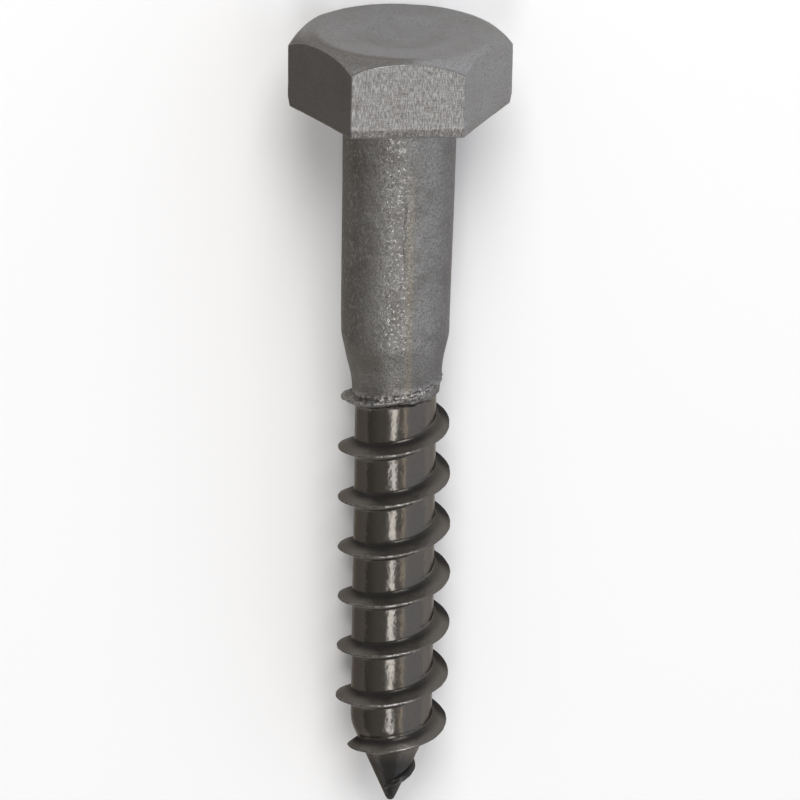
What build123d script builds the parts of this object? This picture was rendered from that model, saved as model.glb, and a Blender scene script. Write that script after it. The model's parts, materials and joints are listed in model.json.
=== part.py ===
"""Hex-head lag screw, 8 x 50 mm, with a right-hand wood thread and a gimlet point.

Units are millimetres. The screw is modelled upright: the head's bearing face lies on z = 0,
the head stands above it and the shank hangs below, so every depth is measured down the axis
from the bearing face. The finished solid is then laid down the way a loose screw comes to
rest, on one flat of its head and on the crest of its last full thread.
"""

import os
from math import atan2, cos, floor, hypot, pi, radians, sin, tan

from build123d import *

# Head
ACROSS_FLATS = 12.8  # a 13 mm head at the small end of its tolerance
HEAD_HEIGHT = 5.2
CORNER_RADIUS = 0.35  # the upright edges between the flats
TOP_FLAT_RADIUS = 5.8  # the flat circle inside the rounded crown
CROWN_DROP = 1.0  # how far the crown falls from the top to the corners
RIM_HEIGHT = 0.6  # the broken edge around the bearing face
RIM_INSET = 0.2
DISH_RADIUS = 3.4  # the shallow hollow that forging leaves in the top
DISH_DEPTH = 0.22

# Shank and neck
SHANK_DIAMETER = 7.4
SHANK_STRAIGHT = 9.0  # the length that keeps the full diameter
SHANK_END_DIAMETER = 7.06  # the shank draws in slightly towards the neck
SHANK_LENGTH = 16.2  # bearing face to neck
NECK_LENGTH = 3.7
NECK_END_DIAMETER = 5.86
STEP_LENGTH = 0.4  # the neck ends in a short step down to the core
HEAD_FLARE = 0.3  # the shank widens a little where it meets the head
NECK_FILLET = 4.0

# Thread
TOTAL_LENGTH = 50.0  # bearing face to the point
PITCH = 3.6
CREST_DIAMETER = 7.5
CORE_DIAMETER = 5.44
CREST_LAND = 0.11  # width of the narrow flat along the crest
FLANK_ANGLE = 60.0  # between the two flanks
THREAD_START = 18.3  # depth where the ridge leaves the neck
THREAD_START_ANGLE = 54.0  # degrees from +X, counter-clockwise seen from the head
RUNOUT_LENGTH = 5.2  # the ridge grows to its full height over this length
ROOT_SINK = 0.3  # the ridge is rooted this deep inside the core
START_SHARE = 0.98  # the ridge's crest starts hidden, at this share of the neck's radius
END_SHARE = 0.9  # and ends hidden, at this share of the point's radius
STATIONS_PER_TURN = 18  # points that each edge of the ridge runs through

# Point
POINT_ANGLE = 46.2  # the whole angle of the core's cone
POINT_RADIUS = 0.25  # the blunt end
RIDGE_FADE_LENGTH = 5.5  # the ridge shrinks to nothing over this length
RIDGE_FADE_GAP = 0.3  # and ends this far short of the point

flat_radius = ACROSS_FLATS / 2
corner_circle = flat_radius / cos(pi / 6) - CORNER_RADIUS * (1 / cos(pi / 6) - 1)
shank_radius = SHANK_DIAMETER / 2
shank_end_radius = SHANK_END_DIAMETER / 2
neck_end_radius = NECK_END_DIAMETER / 2
crest_radius = CREST_DIAMETER / 2
core_radius = CORE_DIAMETER / 2
neck_end = SHANK_LENGTH + NECK_LENGTH
core_start = neck_end + STEP_LENGTH

# The cone of the point runs smoothly into the small ball that blunts it.
half_point_angle = radians(POINT_ANGLE / 2)
ball_depth = TOTAL_LENGTH - POINT_RADIUS
ball_touch_depth = ball_depth + POINT_RADIUS * sin(half_point_angle)
ball_touch_radius = POINT_RADIUS * cos(half_point_angle)
point_start = ball_touch_depth - (core_radius - ball_touch_radius) / tan(half_point_angle)

ridge_end = TOTAL_LENGTH - RIDGE_FADE_GAP
ridge_full_from = THREAD_START + RUNOUT_LENGTH
ridge_full_to = ridge_end - RIDGE_FADE_LENGTH


def between(depth, start, end, first, last):
    """A value that changes evenly from first at start to last at end, and is constant outside."""
    share = min(max((depth - start) / (end - start), 0.0), 1.0)
    return first + (last - first) * share


def stem_radius(depth):
    """Radius of the screw without its thread, from the neck to the point."""
    if depth < neck_end:
        return between(depth, SHANK_LENGTH, neck_end, shank_end_radius, neck_end_radius)
    if depth < point_start:
        return between(depth, neck_end, core_start, neck_end_radius, core_radius)
    return between(depth, point_start, ball_touch_depth, core_radius, ball_touch_radius)


def crest_at(depth):
    """Radius of the ridge's crest, which dips just under the surface at both of its ends."""
    if depth < ridge_full_from:
        hidden = START_SHARE * stem_radius(THREAD_START)
        return between(depth, THREAD_START, ridge_full_from, hidden, crest_radius)
    hidden = END_SHARE * stem_radius(ridge_end)
    return between(depth, ridge_full_to, ridge_end, crest_radius, hidden)


def root_at(depth):
    """Radius that the ridge is rooted at, inside the stem."""
    return min(stem_radius(depth), crest_at(depth)) * (1 - ROOT_SINK / core_radius)


def ridge_corner(depth, at_root, side):
    """A corner of the ridge's section; side is 1 towards the head and -1 towards the point."""
    radius = root_at(depth) if at_root else crest_at(depth)
    half_width = CREST_LAND / 2 + (crest_at(depth) - radius) * tan(radians(FLANK_ANGLE / 2))
    angle = radians(THREAD_START_ANGLE) - 2 * pi * (depth - THREAD_START) / PITCH
    return Vector(radius * cos(angle), radius * sin(angle), side * half_width - depth)


def ridge_edge(depths, at_root, side):
    """One turn of an edge of the ridge; neighbouring turns meet with one shared direction."""

    def direction(depth):
        ahead = ridge_corner(depth + CREST_LAND / 2, at_root, side)
        behind = ridge_corner(depth - CREST_LAND / 2, at_root, side)
        return (ahead - behind) / CREST_LAND

    return Edge.make_spline(
        [ridge_corner(depth, at_root, side) for depth in depths],
        tangents=[direction(depths[0]), direction(depths[-1])],
        parameters=depths,
        scale=False,
    )


def make_ridge():
    """The thread as one solid: flanks, crest and hidden root turn by turn, and two hidden ends."""
    corners = [(True, 1), (False, 1), (False, -1), (True, -1)]
    turns = round((ridge_end - THREAD_START) / PITCH)
    turn_length = (ridge_end - THREAD_START) / turns
    faces = []
    for turn in range(turns):
        first = THREAD_START + turn * turn_length
        depths = [
            first + turn_length * step / STATIONS_PER_TURN for step in range(STATIONS_PER_TURN + 1)
        ]
        edges = [ridge_edge(depths, at_root, side) for at_root, side in corners]
        for edge, next_edge in zip(edges, edges[1:] + edges[:1]):
            faces.append(Face.make_surface_from_curves(edge, next_edge))
    for depth in (THREAD_START, ridge_end):
        section = [ridge_corner(depth, at_root, side) for at_root, side in corners]
        faces.append(Face(Wire.make_polygon(section)))
    return Solid(Shell(faces))


with BuildPart() as lag_screw:
    # Head: a hexagon with rounded corners, turned to a rounded crown on top. The ball that
    # rounds it is turned a quarter, so that its seam falls on a flat and not on a corner.
    with BuildSketch() as hexagon:
        RegularPolygon(radius=flat_radius, side_count=6, major_radius=False)
        fillet(hexagon.vertices(), radius=CORNER_RADIUS)
    extrude(amount=HEAD_HEIGHT)
    crown_centre = HEAD_HEIGHT - (
        corner_circle**2 - TOP_FLAT_RADIUS**2 + CROWN_DROP**2
    ) / (2 * CROWN_DROP)
    crown_ball = hypot(TOP_FLAT_RADIUS, HEAD_HEIGHT - crown_centre)
    with Locations((0, 0, crown_centre)):
        Sphere(crown_ball, rotation=(0, 0, 90), mode=Mode.INTERSECT)

    # Broken edge around the bearing face
    bearing_face = lag_screw.faces().sort_by(Axis.Z)[0]
    chamfer(bearing_face.edges(), length=RIM_INSET, length2=RIM_HEIGHT, reference=bearing_face)

    # Hollow in the top
    dish_ball = (DISH_RADIUS**2 + DISH_DEPTH**2) / (2 * DISH_DEPTH)
    with Locations((0, 0, HEAD_HEIGHT - DISH_DEPTH + dish_ball)):
        Sphere(dish_ball, rotation=(90, 0, 0), mode=Mode.SUBTRACT)

    # Shank, neck, core and point in one turned profile, rooted inside the head
    with BuildSketch(Plane.XZ):
        with BuildLine():
            stem = FilletPolyline(
                (0, RIM_HEIGHT),
                (shank_radius + HEAD_FLARE, RIM_HEIGHT),
                (shank_radius + HEAD_FLARE, 0),
                (shank_radius, -HEAD_FLARE),
                (shank_radius, -SHANK_STRAIGHT),
                (shank_end_radius, -SHANK_LENGTH),
                (neck_end_radius, -neck_end),
                (core_radius, -core_start),
                (core_radius, -point_start),
                (ball_touch_radius, -ball_touch_depth),
                radius=[0, 0, 0, 0, NECK_FILLET, 0, 0, 0],
            )
            TangentArc(stem @ 1, (0, -TOTAL_LENGTH), tangent=stem % 1)
            Line((0, -TOTAL_LENGTH), stem @ 0)
        make_face()
    revolve(axis=Axis.Z)

    add(make_ridge())

# Rest: the lower flat touches the ground along its edge by the bearing face, and the crest of the
# last full turn touches it below the core. The origin is the middle of the footprint.
lowest_angle = 90.0
first_crest = THREAD_START + PITCH * (THREAD_START_ANGLE - lowest_angle) / 360
full_turns = floor((ridge_full_to - first_crest) / PITCH)
rest_depth = first_crest + full_turns * PITCH + CREST_LAND / 2
tilt = atan2(flat_radius - crest_radius, rest_depth + RIM_HEIGHT)
lift = flat_radius * cos(tilt) - RIM_HEIGHT * sin(tilt)
head_reach = HEAD_HEIGHT * cos(tilt) + TOP_FLAT_RADIUS * sin(tilt)
point_reach = ball_depth * cos(tilt) + POINT_RADIUS
bearing_y = (point_reach - head_reach) / 2
resting = Plane(
    origin=(0, bearing_y, lift), x_dir=(1, 0, 0), z_dir=(0, cos(tilt), sin(tilt))
)
lag_screw.part.location = resting.location
lag_screw.part.label = "lag_screw"

os.makedirs("parts", exist_ok=True)
export_step(lag_screw.part, "parts/lag_screw.step")
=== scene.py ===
"""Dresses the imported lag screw: a forged hexagon head and a rolled stem with its wood thread.

Places are millimetres in the screw's own axes: x to the right of the photograph, y up the
axis from the head's bearing face and z towards the camera. Depth is measured down from that
face. They become metres in the row frame only when a mesh is finished.
"""

import json
from math import atan2, cos, pi, radians, sin, sqrt, tan
from types import SimpleNamespace

import bmesh
import bpy
from bpy.props import FloatProperty, FloatVectorProperty, IntProperty, PointerProperty
from bpy.types import Operator, Panel, PropertyGroup
from mathutils import Matrix, Vector, noise


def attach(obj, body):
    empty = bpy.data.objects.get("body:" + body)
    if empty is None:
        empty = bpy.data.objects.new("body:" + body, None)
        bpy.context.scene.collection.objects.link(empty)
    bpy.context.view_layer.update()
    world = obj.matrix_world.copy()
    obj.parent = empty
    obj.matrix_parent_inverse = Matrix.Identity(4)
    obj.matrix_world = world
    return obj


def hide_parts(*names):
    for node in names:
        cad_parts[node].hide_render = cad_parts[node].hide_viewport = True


bl_info = {
    "name": "Lag screw",
    "version": (1, 0, 0),
    "blender": (4, 5, 0),
    "location": "3D View > Sidebar > Lag screw",
    "description": "Builds the lag screw's head, its threaded stem and a plain stage",
    "category": "Add Mesh",
}

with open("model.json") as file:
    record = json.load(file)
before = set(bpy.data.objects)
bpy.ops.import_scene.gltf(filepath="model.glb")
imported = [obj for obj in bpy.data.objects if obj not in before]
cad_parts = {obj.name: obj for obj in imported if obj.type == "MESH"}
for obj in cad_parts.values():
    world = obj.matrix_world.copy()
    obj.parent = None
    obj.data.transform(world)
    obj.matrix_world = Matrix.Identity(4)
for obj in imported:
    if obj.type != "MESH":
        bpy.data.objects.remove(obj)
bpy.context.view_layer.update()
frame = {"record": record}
SCREW = "lag_screw"
MM = 0.001
SAME_PLACE = 1e-7  # vertices nearer to each other than this, in metres, are one

# The screw's own axes in the row frame, from the mount that names its bearing face.
MOUNTS = {mount["name"]: mount for mount in frame["record"]["mounts"]}
TO_POINT = Vector(MOUNTS["bearing_face"]["axis"])
TILT = atan2(-TO_POINT.z, -TO_POINT.y)
ACROSS_FLATS = 12.76
TOP_FLAT_RADIUS = 5.8
HEAD_HEIGHT = 5.2
DRIVE_CENTRE = Vector(MOUNTS["hex_drive"]["pos_m"])
BEARING_CENTRE = DRIVE_CENTRE + TO_POINT * (HEAD_HEIGHT / 2 * MM)
TO_ROW = (
    Matrix.Translation(BEARING_CENTRE)
    @ Matrix.Rotation(TILT, 4, "X")
    @ Matrix.Diagonal((MM, MM, MM, 1))
)


def set_of(context, name):
    """The scene's own settings of one piece."""
    return getattr(context.scene, "lag_screw_" + name)


# Settings


class HeadSettings(PropertyGroup):
    """Sizes of the forged head, in millimetres."""

    across_flats: FloatProperty(
        name="Across flats", description="Width between two opposite flats", default=ACROSS_FLATS
    )
    height: FloatProperty(
        name="Height", description="Bearing face to the flat top", default=HEAD_HEIGHT
    )
    corner_radius: FloatProperty(
        name="Corner radius", description="Rounding of the upright edges", default=0.22
    )
    top_radius: FloatProperty(
        name="Top radius", description="Flat circle inside the crown", default=TOP_FLAT_RADIUS
    )
    crown_drop: FloatProperty(
        name="Crown drop", description="Fall of the crown from the top to the corners", default=1.0
    )
    edge_radius: FloatProperty(
        name="Edge radius", description="Rounding where the crown meets the flats", default=0.1
    )
    rim_height: FloatProperty(
        name="Rim height", description="Drawn-in band around the bearing face", default=0.62
    )
    rim_inset: FloatProperty(
        name="Rim inset", description="How far that band draws in", default=0.14
    )
    dish_radius: FloatProperty(
        name="Dish radius", description="Shallow hollow in the middle of the top", default=3.45
    )
    dish_depth: FloatProperty(name="Dish depth", description="Depth of the hollow", default=0.24)


class StemSettings(PropertyGroup):
    """Sizes of the shank, the neck and the thread, in millimetres."""

    shank_radius: FloatProperty(
        name="Shank radius", description="Radius just below the head", default=3.745
    )
    shank_draw: FloatProperty(
        name="Shank draw", description="Radius lost per millimetre of depth", default=0.0112
    )
    shank_length: FloatProperty(
        name="Shank length", description="Bearing face to the neck", default=16.1
    )
    neck_length: FloatProperty(
        name="Neck length", description="From the shank to the core", default=3.9
    )
    neck_radius: FloatProperty(
        name="Neck radius", description="Radius where the neck ends", default=2.9
    )
    core_radius: FloatProperty(
        name="Core radius", description="Radius between the thread's turns", default=2.72
    )
    crest_radius: FloatProperty(
        name="Crest radius", description="Radius of a full turn's crest", default=3.745
    )
    crest_land: FloatProperty(
        name="Crest land", description="Width of the narrow flat on the crest", default=0.07
    )
    pitch: FloatProperty(name="Pitch", description="From one turn to the next", default=3.6)
    thread_start: FloatProperty(
        name="Thread start", description="Depth where the ridge leaves the neck", default=18.3
    )
    start_angle: FloatProperty(
        name="Start angle", description="Where around the neck it starts", default=radians(54),
        subtype="ANGLE",
    )
    length: FloatProperty(name="Length", description="Bearing face to the point", default=50.0)
    columns_per_turn: IntProperty(
        name="Columns per turn", description="Steps of the mesh around the axis", default=180
    )
    rows_per_pitch: IntProperty(
        name="Rows per pitch", description="Steps of the mesh across one turn", default=32
    )


class SteelSettings(PropertyGroup):
    """Colours of the bare steel, and of the shade and highlights painted on it."""

    head: FloatVectorProperty(
        name="Head", description="Brushed steel of the head", subtype="COLOR",
        size=4, default=(0.332, 0.337, 0.348, 1.0),
    )
    shank: FloatVectorProperty(
        name="Shank", description="Grainy steel of the shank", subtype="COLOR",
        size=4, default=(0.325, 0.322, 0.313, 1.0),
    )
    thread: FloatVectorProperty(
        name="Thread", description="Rolled steel between the turns", subtype="COLOR",
        size=4, default=(0.135, 0.126, 0.115, 1.0),
    )
    point: FloatVectorProperty(
        name="Point", description="Dark rolled point", subtype="COLOR",
        size=4, default=(0.08, 0.084, 0.088, 1.0),
    )
    warm: FloatVectorProperty(
        name="Warm patches", description="Slightly browned patches", subtype="COLOR",
        size=4, default=(0.145, 0.13, 0.112, 1.0),
    )
    # Worn edges, and also painted highlights on the crests and the shank's glints
    wear_and_highlight: FloatVectorProperty(
        name="Wear and painted highlights", description="Worn edges, and painted highlights on crests and glints", subtype="COLOR",
        size=4, default=(0.5, 0.49, 0.48, 1.0),
    )
    # Painted shade: the side facing left, darkened as if it reflected a dark room
    stain: FloatVectorProperty(
        name="Painted left shade", description="Painted dark brown shade on the side facing left",
        subtype="COLOR", size=4, default=(0.05, 0.044, 0.038, 1.0),
    )
    # Painted reflection: the warm strip lamp's yellowish reflection along the shank
    warm_reflection: FloatVectorProperty(
        name="Painted warm reflection", description="Painted yellowish reflection of the warm lamp along the shank", subtype="COLOR",
        size=4, default=(0.36, 0.33, 0.26, 1.0),
    )
    # Painted shade: bluish darkening of the shank's side facing right
    right_side_shade: FloatVectorProperty(
        name="Painted right shade", description="Painted bluish shade on the shank's side facing right", subtype="COLOR",
        size=4, default=(0.17, 0.172, 0.19, 1.0),
    )
    pit: FloatVectorProperty(
        name="Pits", description="Nicks and pits", subtype="COLOR",
        size=4, default=(0.07, 0.065, 0.06, 1.0),
    )


class StageSettings(PropertyGroup):
    """Floor, lights and camera."""

    floor: FloatVectorProperty(
        name="Floor", description="Colour of the floor", subtype="COLOR",
        size=4, default=(0.92, 0.92, 0.92, 1.0),
    )
    camera_elevation: FloatProperty(
        name="Camera lean", description="How far the view leans towards the head",
        default=radians(22.5), subtype="ANGLE",
    )
    camera_turn: FloatProperty(
        name="Camera turn", description="How far the view leans towards the left",
        default=radians(4.75), subtype="ANGLE",
    )
    camera_roll: FloatProperty(
        name="Camera roll", description="Lean of the screw in the picture",
        default=radians(0.824), subtype="ANGLE",
    )
    lens: FloatProperty(name="Lens", description="Focal length", default=408.8)


# Node expressions


class Number:
    """A socket that carries a value; arithmetic on it adds Math nodes to its tree."""

    def __init__(self, graph, socket):
        self.graph = graph
        self.socket = socket

    def __add__(self, other):
        return self.graph.maths("ADD", self, other)

    def __sub__(self, other):
        return self.graph.maths("SUBTRACT", self, other)

    def __rsub__(self, other):
        return self.graph.maths("SUBTRACT", other, self)

    def __mul__(self, other):
        return self.graph.maths("MULTIPLY", self, other)

    def __truediv__(self, other):
        return self.graph.maths("DIVIDE", self, other)

    def __rtruediv__(self, other):
        return self.graph.maths("DIVIDE", other, self)

    def __pow__(self, other):
        return self.graph.maths("POWER", self, other)

    def __abs__(self):
        return self.graph.maths("ABSOLUTE", self)

    def __neg__(self):
        return self * -1.0

    __radd__ = __add__
    __rmul__ = __mul__


class Graph:
    """Adds nodes to a material's, a world's or a modifier's tree."""

    def __init__(self, tree):
        self.tree = tree

    def node(self, kind, settings=None, inputs=None, output=0):
        """A node of a kind, with its settings first and then its sockets; returns one output."""
        made = self.tree.nodes.new(kind)
        for name, value in (settings or {}).items():
            setattr(made, name, value)
        for key, value in (inputs or {}).items():
            self.feed(made.inputs[key], value)
        return Number(self, made.outputs[output]) if made.outputs else None

    def feed(self, socket, value):
        """Links a socket to a value's own, or writes a plain value into it."""
        if isinstance(value, Number):
            self.tree.links.new(value.socket, socket)
        else:
            socket.default_value = value

    def maths(self, operation, *values):
        """A Math node on plain values or sockets."""
        inputs = dict(enumerate(values))
        return self.node("ShaderNodeMath", {"operation": operation}, inputs)

    def smaller(self, a, b, blend=0.0):
        """The smaller of two values; a blend rounds the change from one to the other."""
        if blend:
            return self.maths("SMOOTH_MIN", a, b, blend)
        return self.maths("MINIMUM", a, b)

    def larger(self, a, b, blend=0.0):
        """The larger of two values; a blend rounds the change from one to the other."""
        if blend:
            return self.maths("SMOOTH_MAX", a, b, blend)
        return self.maths("MAXIMUM", a, b)

    def ease(self, value, start, end, first=0.0, last=1.0):
        """A smooth change from first at start to last at end, constant outside."""
        inputs = {0: value, 1: start, 2: end, 3: first, 4: last}
        return self.node("ShaderNodeMapRange", {"interpolation_type": "SMOOTHSTEP"}, inputs)

    def fall(self, value, start, end):
        """A smooth change from 1 at start to 0 at end."""
        return self.ease(value, start, end, 1.0, 0.0)

    def slope(self, value, start, end, first=0.0, last=1.0):
        """An even change from first at start to last at end, constant outside."""
        return self.node("ShaderNodeMapRange", {}, {0: value, 1: start, 2: end, 3: first, 4: last})

    def vector(self, x, y, z):
        """A vector from its three parts."""
        return self.node("ShaderNodeCombineXYZ", {}, {0: x, 1: y, 2: z})

    def split(self, vector):
        """The three parts of a vector."""
        made = self.tree.nodes.new("ShaderNodeSeparateXYZ")
        self.feed(made.inputs[0], vector)
        return [Number(self, socket) for socket in made.outputs]

    def times(self, vector, by):
        """A vector multiplied part by part."""
        return self.node("ShaderNodeVectorMath", {"operation": "MULTIPLY"}, {0: vector, 1: by})

    def grain(self, place, scale=1.0, detail=2.0, roughness=0.5):
        """Even noise between 0 and 1 about a half."""
        inputs = {"Vector": place, "Scale": scale, "Detail": detail, "Roughness": roughness}
        return self.node("ShaderNodeTexNoise", {}, inputs)

    def wander(self, place, scale, height, middle=0.5, **quality):
        """Noise that is as high as given and goes up and down about its middle."""
        return (self.grain(place, scale, **quality) - middle) * height

    def mix(self, share, first, last):
        """A colour between two; a Mix node's colour sockets are 6 and 7, and its output is 2."""
        inputs = {0: share, 6: first, 7: last}
        return self.node("ShaderNodeMix", {"data_type": "RGBA"}, inputs, output=2)


# Stem


STEM_INPUTS = (
    "shank_radius",
    "shank_draw",
    "shank_length",
    "neck_length",
    "neck_radius",
    "core_radius",
    "crest_radius",
    "crest_land",
    "pitch",
    "thread_start",
    "start_angle",
    "length",
    "columns_per_turn",
    "rows_per_pitch",
)
WHOLE_INPUTS = ("columns_per_turn", "rows_per_pitch")
STEM_SEED = 4.0
FULL_TURN = 2 * pi

# Mesh
HIDDEN_DEPTH = 0.9  # the stem is rooted this deep inside the head
CLOSING_LENGTH = 0.05  # and closes on the axis there within this length
POINT_CLOSING_LENGTH = 0.001  # as it does at the point
ROW_CROWDING = 0.78  # rows of the mesh crowd towards the crest by this share
NOISE_RADIUS = 3.0  # noises are read on a plain cylinder, so the flanks don't stretch them
WELD_DISTANCE = 0.0006

# Shank, neck and core
SHANK_ASIDE = -0.1  # the lower shank stands this far to the left
NECK_HOLLOW = 1.45  # how hollow the neck's outline is
NECK_FLARE = 0.25  # slope of its outline further up, where the shank's is the smaller one
NECK_BLEND = 0.14
TORN_REACH = 0.9  # the neck's torn lower edge wanders over this depth
STEP_START = 0.05  # the step from that edge down to the core
STEP_END = 0.3
CORE_SWELL = 0.035  # the core is this much thinner at its start
SWELL_START = 6.0  # below the neck
SWELL_END = 18.0
UNEVENNESS = 0.05

# Point
POINT_SLOPE = tan(radians(23.1))
POINT_CONE_END = 50.5  # where the point's cone would close if it weren't blunted
POINT_BALL = 0.3
BALL_BLEND = 0.02
POINT_BLEND = 0.35

# Thread
FLANK_SLOPE = 1 / tan(radians(28.0))
RISE_START = 0.2  # the crest rises out of the neck from here, below the thread's start
FIRST_RISE_END = 2.1
LATE_RISE_END = 5.4
FIRST_RISE = 0.62
LATE_RISE = 0.28
FADE_SLOPE = 0.62  # the crest comes down on the point on this slope
FADE_PAST = 0.4  # which would meet the axis this far past the point
CLOSE_SLOPE = 1.25  # and at last on this one
CLOSE_SHORT = 0.5  # which would meet it this far before the point
FADE_BLEND = 0.3
CREST_LEAN = 0.06  # the turns stand to the left and to the right by this much
LEAN_LENGTH = 22.0  # once each way over this length
LEAN_MIDDLE = 30.0
CREST_WANDER = 0.12
CREST_NICKS = 0.07
SEAM_WIDTH = 0.035  # half the width of the folded seam along the crest
SEAM_DEPTH = 0.03
ROOT_BLEND = 0.07
RAGGED_HEIGHT = 0.55
RAGGED_MIDDLE = 0.42


def stem_outline(g, size, depth, neck_end, place):
    """Radius of the screw without its thread: shank, neck, torn step, core and point."""
    shank = size["shank_radius"] - size["shank_draw"] * depth
    shank_end = size["shank_radius"] - size["shank_draw"] * size["shank_length"]
    neck_share = 1 - g.slope(depth, size["shank_length"], neck_end)
    neck_drop = shank_end - size["neck_radius"]
    neck_line = size["neck_radius"] + neck_drop * neck_share**NECK_HOLLOW
    neck_line = neck_line + g.larger(size["shank_length"] - depth, 0.0) * NECK_FLARE
    turned = g.smaller(shank, neck_line, NECK_BLEND)

    torn_edge = neck_end + g.wander(place, 0.9, TORN_REACH, detail=3.0)
    step = g.ease(depth, torn_edge + STEP_START, torn_edge + STEP_END)
    swell = g.ease(depth, neck_end + SWELL_START, neck_end + SWELL_END, 0.0, CORE_SWELL)
    core = size["core_radius"] - CORE_SWELL + swell
    body = turned + (core - turned) * step

    cone = (POINT_CONE_END - depth) * POINT_SLOPE
    ball_start = size["length"] - POINT_BALL
    along_ball = g.larger(depth - ball_start, 0.0)
    ball = g.larger(POINT_BALL**2 - along_ball * along_ball, 0.0) ** 0.5
    on_ball = g.ease(depth, ball_start - BALL_BLEND, ball_start)
    return g.smaller(body, cone, POINT_BLEND) * (1 - on_ball) + g.smaller(cone, ball) * on_ball


def crest_line(g, size, depth, cosine, place):
    """Radius of the thread's crest, which rises out of the neck and comes down on the point."""
    first_rise_end = size["thread_start"] + FIRST_RISE_END
    first_rise = g.slope(depth, size["thread_start"] + RISE_START, first_rise_end) * FIRST_RISE
    late_rise_end = size["thread_start"] + LATE_RISE_END
    late_rise = g.slope(depth, first_rise_end, late_rise_end) * LATE_RISE
    risen = size["crest_radius"] - (FIRST_RISE + LATE_RISE) + first_rise + late_rise
    fading = (size["length"] + FADE_PAST - depth) * FADE_SLOPE
    closing = (size["length"] - CLOSE_SHORT - depth) * CLOSE_SLOPE
    crest = g.smaller(risen, g.smaller(fading, closing), FADE_BLEND)

    lean_angle = (depth - LEAN_MIDDLE) * (FULL_TURN / LEAN_LENGTH)
    lean = g.maths("SINE", lean_angle) * cosine * CREST_LEAN
    wander = g.wander(place, 0.55, CREST_WANDER, detail=1.0)
    nicks = g.wander(place, 2.6, CREST_NICKS, detail=3.0, roughness=0.6)
    return crest + lean + wander + nicks


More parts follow.
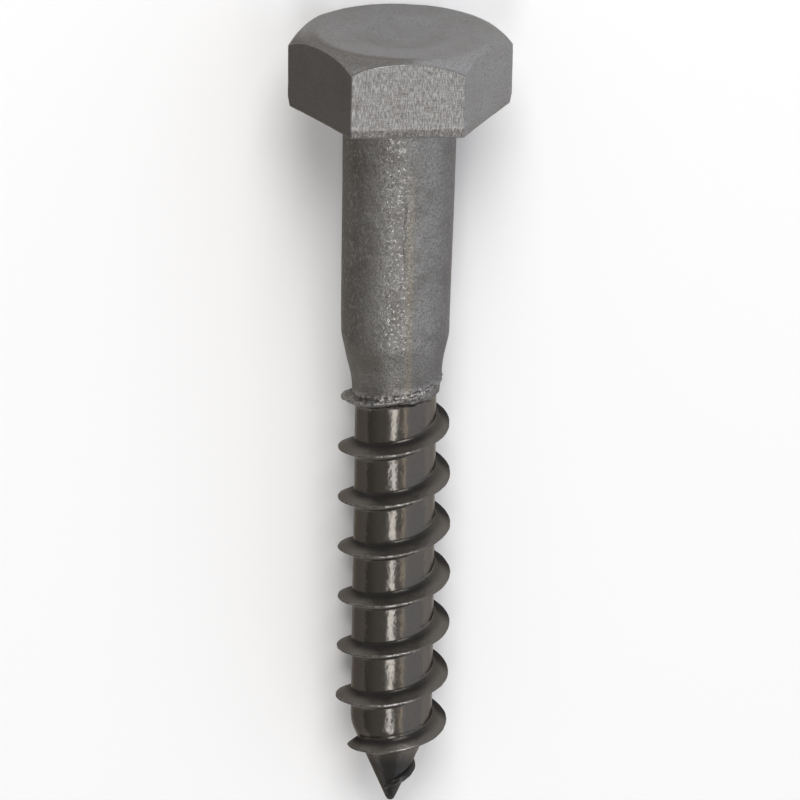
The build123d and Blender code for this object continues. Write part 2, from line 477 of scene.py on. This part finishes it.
def make_stem_tree():
    """A spiral grid whose rows follow the thread, raised to the screw's own radius."""
    tree = bpy.data.node_groups.new("Threaded stem", "GeometryNodeTree")
    tree.interface.new_socket(name="Geometry", in_out="OUTPUT", socket_type="NodeSocketGeometry")
    for name in STEM_INPUTS:
        kind = "NodeSocketInt" if name in WHOLE_INPUTS else "NodeSocketFloat"
        tree.interface.new_socket(name=name, in_out="INPUT", socket_type=kind)
    tree.interface.new_socket(name="Seed", in_out="INPUT", socket_type="NodeSocketFloat")
    tree.interface.new_socket(name="Steel", in_out="INPUT", socket_type="NodeSocketMaterial")

    g = Graph(tree)
    given = tree.nodes.new("NodeGroupInput")
    size = {socket.name: Number(g, socket) for socket in given.outputs if socket.name}

    # The grid starts and ends midway between two crests
    first_crest = size["thread_start"] + size["pitch"] * size["start_angle"] / FULL_TURN
    crests_back = g.maths("CEIL", (first_crest + HIDDEN_DEPTH) / size["pitch"] + 0.5)
    grid_start = first_crest - size["pitch"] * (crests_back + 0.5)
    turns = (size["length"] - grid_start) / size["pitch"]
    columns = g.maths("CEIL", turns * size["columns_per_turn"])
    grid_inputs = {0: 1.0, 1: 1.0, 2: columns + 1, 3: size["rows_per_pitch"] + 1}
    grid = g.node("GeometryNodeMeshGrid", {}, grid_inputs)
    grid_x, grid_y, _ = g.split(g.node("GeometryNodeInputPosition"))
    turn = (grid_x + 0.5) * columns / size["columns_per_turn"]
    row = grid_y + 0.5
    phase = row + g.maths("SINE", row * FULL_TURN) * (ROW_CROWDING / FULL_TURN)

    # Place on the screw; phase is a half on the crest
    spiral_depth = grid_start + size["pitch"] * (turn + phase)
    depth = g.smaller(g.larger(spiral_depth, -HIDDEN_DEPTH), size["length"])
    cosine = g.maths("COSINE", turn * FULL_TURN)
    sine = g.maths("SINE", turn * FULL_TURN)
    even = g.vector(cosine * NOISE_RADIUS, -depth, sine * NOISE_RADIUS)
    seeded = g.node("ShaderNodeVectorMath", {"operation": "ADD"}, {0: even, 1: size["Seed"]})
    off_crest = abs(phase - 0.5) * size["pitch"]

    # Stem and thread
    neck_end = size["shank_length"] + size["neck_length"]
    stem = stem_outline(g, size, depth, neck_end, seeded)
    flank = g.larger(off_crest - size["crest_land"] / 2, 0.0) * FLANK_SLOPE
    seam = g.ease(off_crest, 0.0, SEAM_WIDTH, SEAM_DEPTH, 0.0)
    started = g.ease(depth, size["thread_start"] - 0.1, size["thread_start"] + 0.5)
    ridge = (crest_line(g, size, depth, cosine, seeded) - flank - seam) * started
    threaded = g.larger(stem, ridge, ROOT_BLEND)

    # Ragged start of the thread and small unevenness everywhere
    first_turn = g.ease(depth, neck_end - 1.5, neck_end - 0.8)
    first_turn = first_turn * g.fall(depth, neck_end + 1.2, neck_end + 2.0)
    torn = first_turn * g.fall(off_crest, 0.25, 0.75)
    ragged = g.wander(seeded, 2.6, RAGGED_HEIGHT, RAGGED_MIDDLE, detail=4.0, roughness=0.7)
    uneven = g.wander(seeded, 0.35, UNEVENNESS)
    off_point = g.fall(depth, size["length"] - 2.5, size["length"] - 0.8)
    off_root = g.ease(depth, -HIDDEN_DEPTH, 0.0)
    radius = threaded + (ragged * torn + uneven) * off_point * off_root

    # Both ends close on the axis
    open_start = g.slope(spiral_depth, -HIDDEN_DEPTH, CLOSING_LENGTH - HIDDEN_DEPTH)
    point_start = size["length"] - POINT_CLOSING_LENGTH
    open_end = g.slope(spiral_depth, point_start, size["length"], 1.0, 0.0)
    radius = radius * open_start * open_end

    aside = g.ease(depth, 2.8, size["shank_length"]) * open_start * SHANK_ASIDE
    aside = aside * g.fall(depth, neck_end - 2.6, neck_end - 0.6)
    place = g.vector(radius * cosine + aside, -depth, radius * sine)

    # Marks that the steel reads
    above = ridge - stem
    crease = g.ease(above, -0.24, 0.0) * g.fall(above, 0.22, 0.78) * g.fall(phase, 0.42, 0.5)
    marks = {
        "crease": crease * started,
        "crest": g.fall(off_crest, 0.02, 0.11) * g.ease(above, 0.0, 0.2),
        "flank": g.ease(above, 0.0, 0.3) * started,
        "torn": torn,
        "underside": g.ease(above, 0.0, 0.15) * g.ease(phase, 0.5, 0.52) * started,
    }
    for name, value in marks.items():
        marked_inputs = {"Geometry": grid, "Name": name, "Value": value}
        grid = g.node("GeometryNodeStoreNamedAttribute", {"domain": "POINT"}, marked_inputs)

    placed = g.node("GeometryNodeSetPosition", {}, {"Geometry": grid, "Position": place})
    weld_inputs = {"Geometry": placed, "Distance": WELD_DISTANCE}
    joined = g.node("GeometryNodeMergeByDistance", {}, weld_inputs)
    smooth = g.node("GeometryNodeSetShadeSmooth", {}, {"Geometry": joined, "Shade Smooth": True})
    laid_inputs = {
        "Geometry": smooth,
        "Translation": BEARING_CENTRE,
        "Rotation": (TILT, 0.0, 0.0),
        "Scale": (MM, MM, MM),
    }
    laid = g.node("GeometryNodeTransform", {}, laid_inputs)
    real = g.node("GeometryNodeRealizeInstances", {}, {"Geometry": laid})
    coated = g.node("GeometryNodeSetMaterial", {}, {"Geometry": real, "Material": size["Steel"]})
    g.node("NodeGroupOutput", {}, {0: coated})
    return tree


def baked(name, tree, values, material):
    """Runs a tree once and returns its result as a plain object."""
    carrier = bpy.data.objects.new(name + " carrier", bpy.data.meshes.new(name + " carrier"))
    bpy.context.scene.collection.objects.link(carrier)
    modifier = carrier.modifiers.new(name, "NODES")
    modifier.node_group = tree
    for item in tree.interface.items_tree:
        if item.item_type == "SOCKET" and item.in_out == "INPUT":
            modifier[item.identifier] = values[item.name]
    graph = bpy.context.evaluated_depsgraph_get()
    mesh = bpy.data.meshes.new_from_object(carrier.evaluated_get(graph), depsgraph=graph)
    bpy.data.objects.remove(carrier)
    mesh.name = name
    mesh.materials.clear()
    mesh.materials.append(material)
    made = bpy.data.objects.new(name, mesh)
    bpy.context.scene.collection.objects.link(made)
    return made


def closed_and_outward(mesh):
    """Welds a mesh's doubles and turns its faces outwards."""
    work = bmesh.new()
    work.from_mesh(mesh)
    bmesh.ops.remove_doubles(work, verts=work.verts, dist=SAME_PLACE)
    bmesh.ops.recalc_face_normals(work, faces=work.faces)
    open_edges = sum(1 for edge in work.edges if not edge.is_manifold)
    work.to_mesh(mesh)
    work.free()
    print(mesh.name, "faces", len(mesh.polygons), "open edges", open_edges)


def finish_piece(piece):
    """Hands a finished mesh to the frame as part of the screw's one body."""
    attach(piece, "root")
    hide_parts(SCREW)


class LAGSCREW_OT_stem(Operator):
    """Build the shank, the neck and the threaded length"""

    bl_idname = "lag_screw.stem"
    bl_label = "Stem and thread"

    def execute(self, context):
        sizes = set_of(context, "stem")
        steel = make_steel(context)
        values = {name: getattr(sizes, name) for name in STEM_INPUTS}
        values["Seed"] = STEM_SEED
        values["Steel"] = steel
        stem = baked("threaded_stem", make_stem_tree(), values, steel)
        closed_and_outward(stem.data)
        finish_piece(stem)
        return {"FINISHED"}


# Head


HEAD_COLUMNS_PER_FLAT = 60
COLUMN_CROWDING = 0.35  # columns of the mesh crowd towards the corners by this share

# Rows of the mesh, from the middle of the top to the stem
DISH_ROWS = 12
TOP_ROWS = 8
CROWN_ROWS = 12
EDGE_ROWS = 5
SIDE_ROWS = 30
RIM_ROWS = 6
FACE_ROWS = 6

BEARING_FACE = -0.06
SOCKET_RADIUS = 3.3  # the bearing face turns in here, hidden by the stem
SOCKET_HEIGHT = 0.6  # and the head's shell closes at this height
CROWN_CURVE = 1.7
DISH_CURVE = 3
TOP_WEDGE = 0.037  # fall of the top per millimetre towards the back
SIDE_WEDGE = 0.011  # and per millimetre towards the right

SLOW_DENT_SCALE = 0.35
SLOW_DENT_DEPTH = 0.035
QUICK_DENT_SCALE = 1.3
QUICK_DENT_DEPTH = 0.012
QUICK_DENT_START = Vector((7.0, 3.0, 1.0))
DENT_SEED = 4


def hexagon_radius(angle, across_flats, corner_radius):
    """Distance from the axis to the side of a hexagon with rounded corners."""
    folded = abs(angle % (pi / 3) - pi / 6)
    apothem = across_flats / 2
    corner_centre = (apothem - corner_radius) / cos(pi / 6)
    flat_end = atan2(corner_centre * sin(pi / 6), apothem)
    if folded <= flat_end:
        return apothem / cos(folded)
    off = pi / 6 - folded
    return corner_centre * cos(off) + sqrt(corner_radius**2 - (corner_centre * sin(off)) ** 2)


def stepped(first, last, count):
    """Evenly spaced values that follow first and end with last."""
    return [first + (last - first) * step / count for step in range(1, count + 1)]


def crowned_column(angle, sizes):
    """Points (radius, height) of the head, from the dish in its top to inside its bearing face."""
    outer = hexagon_radius(angle, sizes.across_flats, sizes.corner_radius)
    corner = hexagon_radius(0.0, sizes.across_flats, sizes.corner_radius)
    top = sizes.height

    def crown(radius):
        share = max(radius - sizes.top_radius, 0.0) / (corner - sizes.top_radius)
        return top - sizes.crown_drop * share**CROWN_CURVE

    def dish(radius):
        share = min(radius / sizes.dish_radius, 1.0)
        return top - sizes.dish_depth * (1 - share**DISH_CURVE)

    crown_end = outer - sizes.edge_radius
    side_top = crown(crown_end) - sizes.edge_radius
    face_start = outer - sizes.rim_inset
    points = [(radius, dish(radius)) for radius in stepped(0.0, sizes.dish_radius, DISH_ROWS)]
    for radius in stepped(sizes.dish_radius, sizes.top_radius, TOP_ROWS):
        points.append((radius, top))
    for radius in stepped(sizes.top_radius, crown_end, CROWN_ROWS):
        points.append((radius, crown(radius)))
    for turn in stepped(0.0, pi / 2, EDGE_ROWS):
        radius = crown_end + sizes.edge_radius * sin(turn)
        points.append((radius, side_top + sizes.edge_radius * cos(turn)))
    for height in stepped(side_top, sizes.rim_height, SIDE_ROWS):
        points.append((outer, height))
    for share in stepped(0.0, 1.0, RIM_ROWS):
        height = sizes.rim_height - (sizes.rim_height - BEARING_FACE) * share
        points.append((outer - sizes.rim_inset * share, height))
    for radius in stepped(face_start, SOCKET_RADIUS, FACE_ROWS):
        points.append((radius, BEARING_FACE))
    points.append((SOCKET_RADIUS, SOCKET_HEIGHT))
    return points


def forged(point):
    """Small unevenness of a forged surface, in millimetres along x, y and z."""
    slow = noise.noise_vector(point * SLOW_DENT_SCALE) * SLOW_DENT_DEPTH
    quick = noise.noise_vector(point * QUICK_DENT_SCALE + QUICK_DENT_START) * QUICK_DENT_DEPTH
    return slow + quick


def wedge(point, sizes):
    """How far the top, which isn't quite square to the axis, lies lower at a point."""
    share = min(max((point.y - sizes.rim_height) / (sizes.height - sizes.rim_height), 0.0), 1.0)
    from_front = sizes.across_flats / 2 - point.z
    return share * (TOP_WEDGE * from_front + SIDE_WEDGE * point.x)


def make_head_mesh(sizes):
    """The hexagon head as one closed shell around the axis."""
    noise.seed_set(DENT_SEED)
    columns = 6 * HEAD_COLUMNS_PER_FLAT
    vertices = []
    for column in range(columns):
        flat, step = divmod(column, HEAD_COLUMNS_PER_FLAT)
        share = step / HEAD_COLUMNS_PER_FLAT * 2 - 1
        crowded = share * (1 + COLUMN_CROWDING - COLUMN_CROWDING * share * share)
        angle = (flat + crowded / 2) * pi / 3 + pi / 6
        for radius, height in crowned_column(angle, sizes):
            point = Vector((radius * cos(angle), height, radius * sin(angle)))
            point.y -= wedge(point, sizes)
            vertices.append(point + forged(point))
    rows = len(vertices) // columns
    middle_top = Vector((0, sizes.height - sizes.dish_depth, 0))
    middle_top.y -= wedge(middle_top, sizes)
    vertices.append(middle_top + forged(middle_top))
    vertices.append(Vector((0, SOCKET_HEIGHT, 0)))
    faces = []
    for column in range(columns):
        here = column * rows
        there = (column + 1) % columns * rows
        for row in range(rows - 1):
            faces.append((here + row, here + row + 1, there + row + 1, there + row))
    for column in range(columns):
        here = column * rows
        there = (column + 1) % columns * rows
        faces.append((here, there, len(vertices) - 2))
        faces.append((there + rows - 1, here + rows - 1, len(vertices) - 1))
    mesh = bpy.data.meshes.new("hexagon_head")
    mesh.from_pydata([TO_ROW @ point for point in vertices], [], faces)
    mesh.shade_smooth()
    return mesh


class LAGSCREW_OT_head(Operator):
    """Build the forged hexagon head"""

    bl_idname = "lag_screw.head"
    bl_label = "Hexagon head"

    def execute(self, context):
        mesh = make_head_mesh(set_of(context, "head"))
        closed_and_outward(mesh)
        mesh.materials.append(make_steel(context))
        head = bpy.data.objects.new("hexagon_head", mesh)
        context.scene.collection.objects.link(head)
        finish_piece(head)
        return {"FINISHED"}


# Steel


EDGE_TINT = (0.6, 0.57, 0.54, 1.0)
# Dark matte coat: painted shade in the thread's creases and on turned-down flanks, and a darker
# point
DARK_MATTE = (0.02, 0.019, 0.018, 1.0)
BUMP_STRENGTH = 0.75
BUMP_DISTANCE = 0.00006
STEM_MARKS = ("crease", "crest", "flank", "torn", "underside")
SCRATCH_HEIGHT = 2.7  # the long scratch across the front flat
# Painted light on the shank: glints painted bright along the band of the lamp's highlight, and a
# yellowish reflection of the warm strip lamp painted beside it.
LIT_MIDDLE = -0.3  # the shank's grains glint most along this line
WARM_REFLECTION_MIDDLE = 0.52  # the yellowish strip beside it
FOLD_MIDDLE = -0.15  # and the fine fold near it


def steel_places(g):
    """Where a point lies on the screw, and which way its surface faces."""
    to_screw = {
        "Vector": g.node("ShaderNodeTexCoord", output="Object"),
        "Location": BEARING_CENTRE,
        "Rotation": (TILT, 0.0, 0.0),
        "Scale": (MM, MM, MM),
    }
    at = SimpleNamespace()
    at.place = g.node("ShaderNodeMapping", {"vector_type": "TEXTURE"}, to_screw)
    at.x, at.height, at.z = g.split(at.place)
    at.depth = -at.height
    at.radius = (at.x * at.x + at.z * at.z) ** 0.5
    facing = g.node("ShaderNodeNewGeometry", output="Normal")
    at.facing_right, at.facing_up, at.facing_front = g.split(facing)
    return at


def steel_parts(g, at, sizes):
    """Shares of the screw's parts and sides, and of the marks that the stem carries."""
    on = SimpleNamespace()
    for mark in STEM_MARKS:
        setattr(on, mark, g.node("ShaderNodeAttribute", {"attribute_name": mark}, output="Fac"))
    neck_end = sizes.shank_length + sizes.neck_length
    above_thread = g.fall(at.depth, neck_end - 0.2, neck_end + 0.5)
    on.head = g.ease(at.height, -0.25, 0.05)
    on.shank = above_thread * (1 - on.head)
    on.neck = g.ease(at.depth, sizes.shank_length - 0.6, sizes.shank_length + 1.0) * on.shank
    on.thread = 1 - above_thread
    on.point = g.ease(at.depth, sizes.length - 4.4, sizes.length - 3.0)
    on.front = g.ease(at.facing_front, 0.84, 0.96) * g.ease(at.z, 5.8, 6.1)
    on.front_flat = on.front * on.head
    # Painted shade: surfaces facing left are darkened, less so on the neck
    on.stained = g.fall(at.facing_right, -0.85, -0.4) * (1 - on.neck * 0.45)
    return on


def steel_grains(g, place):
    """Noises that colour, gloss and relief share."""
    grain = SimpleNamespace()
    grain.strokes = g.grain(g.times(place, (9.0, 0.45, 9.0)), detail=3.0, roughness=0.6)
    grain.cross_strokes = g.grain(g.times(place, (0.5, 7.0, 0.5)), roughness=0.6)
    grain.streaks = g.grain(g.times(place, (2.2, 0.16, 2.2)), detail=3.0, roughness=0.6)
    grain.lines_along = g.grain(g.times(place, (15.0, 2.2, 15.0)), roughness=0.6)
    grain.lines_across = g.grain(g.times(place, (2.0, 15.0, 2.0)), roughness=0.6)
    grain.speckle = g.grain(g.times(place, (1.0, 0.6, 1.0)), 11.0, roughness=0.7)
    grain.fine = g.grain(place, 4.4, detail=3.0, roughness=0.6)
    grain.coarse = g.grain(place, 1.6)
    grain.blotches = g.grain(place, 0.5, detail=3.0, roughness=0.6)
    grain.pits = g.ease(g.grain(place, 3.4), 0.66, 0.74)
    grain.glints = g.ease(g.grain(place, 4.2, detail=3.0, roughness=0.6), 0.53, 0.62)
    return grain


def head_marks(g, at, on, grain):
    """Shares of the head's marks: brushed front flat, worn edges, and painted shade on the rim
    band, the crown's front and the front flat's top edge.
    """
    marks = SimpleNamespace()
    marks.brushed = g.ease(grain.lines_along * 0.7 + grain.lines_across * 0.3, 0.4, 0.62)
    marks.scratch = g.fall(abs(at.height - SCRATCH_HEIGHT), 0.02, 0.07) * on.front_flat
    # Painted shade: the drawn-in rim band, which tilts down, is darkened mostly on the front flat
    marks.rim = g.fall(at.height, 0.45, 0.6) * on.head * (0.1 + on.front * 0.55)
    # Painted shade: a darker grainy crescent on the crown's front, towards the left
    crown = g.ease(at.facing_up, 0.5, 0.8) * g.ease(at.radius, 5.2, 5.8) * on.head
    crown = crown * g.fall(at.x, -0.8, 1.8) * g.ease(at.z, -2.0, 2.0)
    marks.crown = crown * (0.5 + grain.fine * 0.6)
    # Painted shade: the front flat's top edge is darkened towards the right, dimming the lamp's
    # highlight along it
    top_edge = g.ease(at.facing_up, 0.12, 0.3) * g.fall(at.facing_up, 0.6, 0.85) * on.head
    marks.top_edge = top_edge * g.ease(at.facing_front, 0.56, 0.76) * g.ease(at.x, -1.2, 0.6)
    lower_edge = g.ease(at.height, 0.5, 0.6) * g.fall(at.height, 0.66, 0.8) * on.front_flat
    marks.lower_edge = lower_edge * g.ease(grain.fine, 0.36, 0.56, 0.3, 1.0)
    mottle = g.ease(grain.blotches * 0.4 + grain.strokes * 0.6, 0.38, 0.62) * on.head
    marks.mottle = mottle * (1 - on.front_flat) * (1 - on.stained)
    return marks


def stem_marks(g, at, on, grain):
    """Shares of the stem's marks: the shank's fold, painted glints, a painted warm reflection and
    painted shade on its right side, and worn crests with a painted highlight.
    """
    marks = SimpleNamespace()
    # Painted highlight: glints coloured bright mostly along the band where the lamp's highlight
    # falls; their lower roughness is real
    lit = g.ease(abs(at.x - LIT_MIDDLE), 0.45, 1.15, 1.0, 0.22)
    marks.glints = grain.glints * on.shank * (1 - on.neck * 0.8) * lit
    # Painted shade: the shank's side facing right is darkened towards bluish grey
    marks.right_side_shade = g.ease(at.facing_right, 0.45, 0.9) * on.shank
    # Painted reflection: a yellowish strip on the shank's front, where the warm strip lamp would
    # reflect
    warm_reflection = g.fall(abs(at.x - WARM_REFLECTION_MIDDLE), 0.1, 0.4) * on.shank
    marks.warm_reflection = warm_reflection * g.ease(at.z, 0.0, 1.0) * g.ease(at.depth, 3.0, 6.0)
    fold_line = grain.coarse * 0.6 + FOLD_MIDDLE
    fold = g.fall(abs(at.x - fold_line), 0.02, 0.07) * g.ease(at.z, 0.0, 1.0)
    marks.fold = fold * g.ease(at.depth, 5.2, 6.2) * g.fall(at.depth, 9.5, 11.5)
    marks.torn = on.torn * g.ease(grain.fine, 0.5, 0.6)
    # Worn crests, and a painted highlight: the crest is coloured bright mostly on the front of the
    # turns and towards the left, where the overhead lamp reflects
    crest = on.crest * g.ease(grain.fine, 0.42, 0.62) * g.ease(at.z, 3.1, 3.6, 0.3, 1.0)
    marks.crest = crest * g.ease(at.x, 0.0, 1.6, 1.0, 0.25)
    marks.streaks = g.ease(grain.streaks, 0.45, 0.72) * on.thread
    return marks


def steel_colour(g, on, grain, head, stem, colours):
    """The steel's colour, coat over coat, from the plain parts to the smallest marks, with painted
    shade and highlights among them.
    """
    warm = g.ease(grain.blotches, 0.4, 0.7) * 0.45 + stem.streaks * 0.3
    wear_and_highlight = stem.crest + head.lower_edge * 0.8 + head.scratch * 0.4 + on.torn * 0.5
    speckled = g.ease(grain.speckle, 0.38, 0.72) * (0.5 + on.shank * 0.14 - on.thread * 0.3)
    coats = (
        (on.shank, "shank"),
        (on.thread, "thread"),
        (on.neck * 0.3, "thread"),
        (on.point * 0.92, "point"),
        (head.rim, "thread"),
        # painted shade on the crown's front
        (head.crown, "thread"),
        (on.underside * 0.6, "shank"),
        (warm * (1 - on.head * 0.5), "warm"),
        # painted shade on the side facing left
        (on.stained * (0.84 + on.thread * 0.1 - on.shank * 0.09), "stain"),
        (stem.right_side_shade * 0.65, "right_side_shade"),
        (stem.warm_reflection * 0.55, "warm_reflection"),
        (g.smaller(wear_and_highlight, 1.0), "wear_and_highlight"),
        (speckled, "pit"),
        (on.front_flat * head.brushed * 0.55, "wear_and_highlight"),
        (on.front_flat * (1 - head.brushed) * 0.5, "warm"),
        (head.mottle * 0.12, "wear_and_highlight"),
        # painted highlight of the shank's glints
        (stem.glints * 0.65, "wear_and_highlight"),
        (stem.fold * 0.6, "pit"),
        (stem.torn * 0.8, "pit"),
        # real pits, and the painted shade of the front flat's top edge
        (g.larger(grain.pits * 0.5, head.top_edge * 0.7), "pit"),
    )
    colour = tuple(colours.head)
    for share, name in coats:
        colour = g.mix(share, colour, tuple(getattr(colours, name)))
    return colour


def dark_matte_share(g, at, on):
    """Share of painted shade in the thread's creases and on the flanks that turn down, and of a
    darker, matte point.
    """
    # Painted shade where each flank meets the core
    crease_shade = on.crease * (1 - on.torn * g.ease(at.x, -2.4, -0.6))
    crease_shade = crease_shade * g.ease(at.x, -3.4, -2.3) * g.ease(at.x, 1.2, 3.2, 1.0, 0.5)
    # Painted shade on the flanks at the back of the right side
    flank_shade = on.flank * (1 - on.underside) * g.fall(at.z, -0.6, 1.0) * g.ease(at.x, 1.6, 2.6)
    return g.larger(g.larger(crease_shade * 0.92, flank_shade * 0.85), on.point * 0.45)


def make_steel(context):
    """Bare steel: brushed on the head, grainy on the shank and smooth between the turns."""
    name = "Bare steel"
    if name in bpy.data.materials:
        return bpy.data.materials[name]
    steel = bpy.data.materials.new(name)
    steel.use_nodes = True
    steel.node_tree.nodes.clear()
    g = Graph(steel.node_tree)

    at = steel_places(g)
    on = steel_parts(g, at, set_of(context, "stem"))
    grain = steel_grains(g, at.place)
    head = head_marks(g, at, on, grain)
    stem = stem_marks(g, at, on, grain)
    roughness = (
        on.head * (0.34 + grain.strokes * 0.08)
        + on.shank * (0.36 + grain.coarse * 0.1 + on.neck * 0.08 - on.torn * 0.15)
        - stem.glints * 0.24
        + on.thread * (0.145 + grain.coarse * 0.12 + on.flank * 0.17)
    )
    shank_relief = grain.speckle * 0.6 + grain.fine * 1.9 + grain.coarse * 1.2
    relief = (
        on.head * (grain.strokes * 0.35 + grain.cross_strokes * 0.2 + grain.speckle * 0.8)
        + on.shank * shank_relief * (1 - on.neck * 0.6)
        + on.thread * (grain.fine * 0.25 + grain.coarse * 0.7)
        + on.torn * grain.fine * 3.0
    )
    bump_inputs = {"Strength": BUMP_STRENGTH, "Distance": BUMP_DISTANCE, "Height": relief}
    metal_inputs = {
        "Base Color": steel_colour(g, on, grain, head, stem, set_of(context, "steel")),
        "Metallic": 1 - on.underside * 0.6,
        "Specular Tint": EDGE_TINT,
        "Roughness": roughness,
        "Normal": g.node("ShaderNodeBump", {}, bump_inputs),
    }
    metal = g.node("ShaderNodeBsdfPrincipled", {}, metal_inputs)
    # A dark matte shader mixed in for the painted shade and for the darker point
    dark_matte_inputs = {"Base Color": DARK_MATTE, "Roughness": 0.9, "Specular IOR Level": 0.0}
    dark_matte = g.node("ShaderNodeBsdfPrincipled", {}, dark_matte_inputs)
    surface = g.node("ShaderNodeMixShader", {}, {0: dark_matte_share(g, at, on), 1: metal, 2: dark_matte})
    g.node("ShaderNodeOutputMaterial", {}, {"Surface": surface})
    return steel


# Stage


FLOOR_SIDE = 6.0
ROOM_LEFT = (0.35, 0.333, 0.315, 1.0)
ROOM_RIGHT = (0.755, 0.772, 0.83, 1.0)
PICTURE_AIM_DEPTH = 20.93  # the middle of the picture shows the axis at this depth
PICTURE_AIM_ASIDE = 0.284  # and this far beside it
CAMERA_DISTANCE = 0.6
SENSOR_WIDTH = 36.0

# Name, degrees across and along, distance, width and length, power and colour
LAMPS = (
    ("Overhead softbox", -8, -22.5, 0.5, (0.11, 0.287), 0.45, (0.98, 0.99, 1)),
    ("Warm strip", 22, -22.5, 0.5, (0.028, 0.287), 0.065, (1, 0.86, 0.62)),
    ("Back softbox", 0, 50, 0.6, (0.3, 0.3), 2.5, (1, 1, 1)),
)

TO_HEAD = -TO_POINT
UP_FROM_AXIS = Vector((0, -sin(TILT), cos(TILT)))
ASIDE = Vector((1, 0, 0))


def look_from(across, along):
    """A direction from the screw: across turns it to the right and along towards the head."""
    crosswise = UP_FROM_AXIS * cos(across) + ASIDE * sin(across)
    return crosswise * cos(along) + TO_HEAD * sin(along)


def place_lamp(name, across, along, distance, size, power, colour):
    """A rectangular area lamp that faces the screw's middle."""
    lamp = bpy.data.lights.new(name, "AREA")
    lamp.shape = "RECTANGLE"
    lamp.size, lamp.size_y = size
    lamp.energy = power
    lamp.color = colour
    made = bpy.data.objects.new(name, lamp)
    away = look_from(radians(across), radians(along))
    side = (ASIDE - away * ASIDE.dot(away)).normalized()
    basis = Matrix((side, away.cross(side), away)).transposed().to_4x4()
    made.matrix_world = Matrix.Translation(BEARING_CENTRE * 0.5 + away * distance) @ basis
    bpy.context.scene.collection.objects.link(made)
    return made


def make_floor(colour):
    """A plain pale floor under the screw."""
    mesh = bpy.data.meshes.new("Floor")
    half = FLOOR_SIDE / 2
    corners = [(-half, -half, 0), (half, -half, 0), (half, half, 0), (-half, half, 0)]
    mesh.from_pydata(corners, [], [(0, 1, 2, 3)])
    material = bpy.data.materials.new("Pale floor")
    material.use_nodes = True
    material.node_tree.nodes.clear()
    g = Graph(material.node_tree)
    shader = g.node("ShaderNodeBsdfDiffuse", {}, {"Color": colour})
    g.node("ShaderNodeOutputMaterial", {}, {"Surface": shader})
    mesh.materials.append(material)
    floor = bpy.data.objects.new("Floor", mesh)
    bpy.context.scene.collection.objects.link(floor)
    return floor


def make_world():
    """A dim room: warm and dark to the left, cooler and lighter to the right."""
    world = bpy.data.worlds.new("Room")
    world.use_nodes = True
    world.node_tree.nodes.clear()
    g = Graph(world.node_tree)
    x, _, _ = g.split(g.node("ShaderNodeTexCoord", output="Generated"))
    colour = g.mix(g.ease(x, 0.12, 0.5), ROOM_LEFT, ROOM_RIGHT)
    background = g.node("ShaderNodeBackground", {}, {"Color": colour, "Strength": 1.0})
    g.node("ShaderNodeOutputWorld", {}, {"Surface": background})
    bpy.context.scene.world = world


def make_camera(stage):
    """The photograph's camera: it looks down on the screw, leaning towards its head."""
    away = look_from(-stage.camera_turn, stage.camera_elevation)
    side = ASIDE * cos(stage.camera_turn) + UP_FROM_AXIS * sin(stage.camera_turn)
    up = away.cross(side)
    rolled_side = side * cos(stage.camera_roll) + up * sin(stage.camera_roll)
    rolled_up = up * cos(stage.camera_roll) - side * sin(stage.camera_roll)
    aim = BEARING_CENTRE + TO_POINT * (PICTURE_AIM_DEPTH * MM) + side * (PICTURE_AIM_ASIDE * MM)
    lens = bpy.data.cameras.new("Camera")
    lens.lens = stage.lens
    lens.sensor_width = SENSOR_WIDTH
    lens.clip_start = 0.01
    lens.clip_end = 50.0
    camera = bpy.data.objects.new("Camera", lens)
    basis = Matrix((rolled_side, rolled_up, away)).transposed().to_4x4()
    camera.matrix_world = Matrix.Translation(aim + away * CAMERA_DISTANCE) @ basis
    bpy.context.scene.collection.objects.link(camera)
    bpy.context.scene.camera = camera
    return camera


class LAGSCREW_OT_stage(Operator):
    """Build the floor, the lights and the camera"""

    bl_idname = "lag_screw.stage"
    bl_label = "Stage"

    def execute(self, context):
        stage = set_of(context, "stage")
        floor = make_floor(tuple(stage.floor))
        make_world()
        lamps = [place_lamp(*lamp) for lamp in LAMPS]
        camera = make_camera(stage)
        context.scene.view_settings.view_transform = "Standard"
        return {"FINISHED"}


# Panel and start


class LAGSCREW_PT_panel(Panel):
    """Lists the pieces that can be built"""

    bl_idname = "LAGSCREW_PT_panel"
    bl_label = "Lag screw"
    bl_space_type = "VIEW_3D"
    bl_region_type = "UI"
    bl_category = "Lag screw"

    def draw(self, context):
        for piece in PIECES:
            box = self.layout.box()
            box.operator(piece.bl_idname)
            for settings in SETTINGS_OF[piece.bl_idname]:
                group = set_of(context, settings)
                for name in group.bl_rna.properties.keys():
                    if name not in ("rna_type", "name"):
                        box.prop(group, name)


SETTINGS = {
    "head": HeadSettings,
    "stem": StemSettings,
    "steel": SteelSettings,
    "stage": StageSettings,
}
SETTINGS_OF = {
    "lag_screw.stem": ("stem", "steel"),
    "lag_screw.head": ("head",),
    "lag_screw.stage": ("stage",),
}
PIECES = (LAGSCREW_OT_stem, LAGSCREW_OT_head, LAGSCREW_OT_stage)
CLASSES = (*SETTINGS.values(), *PIECES, LAGSCREW_PT_panel)


def register():
    for cls in CLASSES:
        bpy.utils.register_class(cls)
    for name, cls in SETTINGS.items():
        setattr(bpy.types.Scene, "lag_screw_" + name, PointerProperty(type=cls))


def unregister():
    for name in SETTINGS:
        delattr(bpy.types.Scene, "lag_screw_" + name)
    for cls in reversed(CLASSES):
        bpy.utils.unregister_class(cls)


def main():
    register()
    bpy.ops.lag_screw.stem()
    bpy.ops.lag_screw.head()
    bpy.ops.lag_screw.stage()


if __name__ == "__main__":
    main()
